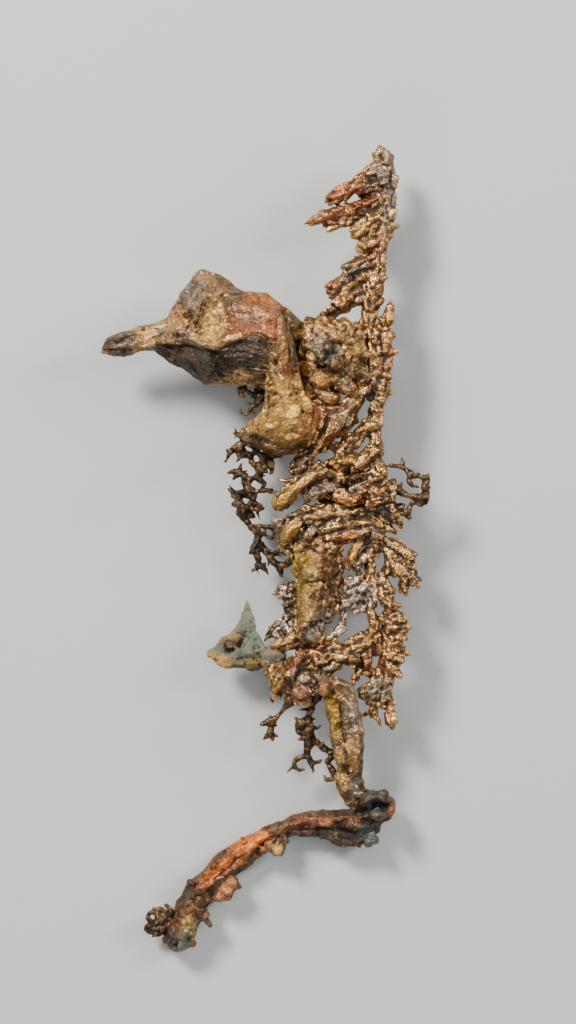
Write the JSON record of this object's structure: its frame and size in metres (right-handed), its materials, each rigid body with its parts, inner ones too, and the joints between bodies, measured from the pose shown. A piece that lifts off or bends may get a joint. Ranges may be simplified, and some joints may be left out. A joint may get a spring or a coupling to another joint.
{
  "type": "native copper nugget",
  "caption": "Branching native copper growth lying on its back: a heavy beaked lobe, a tall crystal spire, leafy sprays and a leg with a long bent foot.",
  "frame": {"origin": "on the surface it lies on, under the middle of its outline", "axes": "+Y up the spire, the longest way; +X across, towards the side of the curled wires; +Z out of the face that shows, the shortest way"},
  "size_m": [0.0662, 0.1637, 0.025],
  "materials": {
    "massive_copper": "semi-matt native copper with a brown and grey patina",
    "knobby_copper": "rounded copper crystals, brown with yellow and grey",
    "beaded_copper": "bright golden-brown copper crystals",
    "leafy_copper": "leaf-like copper crystals, ochre and grey",
    "gritty_copper": "gritty yellow-brown copper",
    "fingered_copper": "bright finger-like copper crystals",
    "silvery_copper": "greyish, silvery copper crystals",
    "pearly_copper": "dark, pearly copper crystals",
    "wiry_copper": "thin dark brown copper wires",
    "dark_wiry_copper": "thin blackened copper wires",
    "green_crust": "matt grey-green crust of copper carbonate",
    "rusty_copper": "brown copper with an orange stain"
  },
  "bodies": {
    "root": {"heavy_lobe": "massive_copper", "leg": "massive_copper", "hip": "massive_copper", "foot": "rusty_copper", "central_rib": "gritty_copper", "knobby_cluster": "knobby_copper", "column": "beaded_copper", "spire": "beaded_copper", "side_leaf": "beaded_copper", "inner_branch": "beaded_copper", "lower_arm": "beaded_copper", "outer_cob": "beaded_copper", "upper_fern": "leafy_copper", "lower_fern": "leafy_copper", "outer_fingers": "fingered_copper", "grey_cluster": "silvery_copper", "pearl_cluster": "pearly_copper", "green_lobe": "green_crust", "outer_curls": "wiry_copper", "left_twig": "wiry_copper", "middle_twig": "wiry_copper", "left_spray": "dark_wiry_copper", "neck_spray": "dark_wiry_copper", "toe_spray": "dark_wiry_copper"}
  },
  "joints": []
}
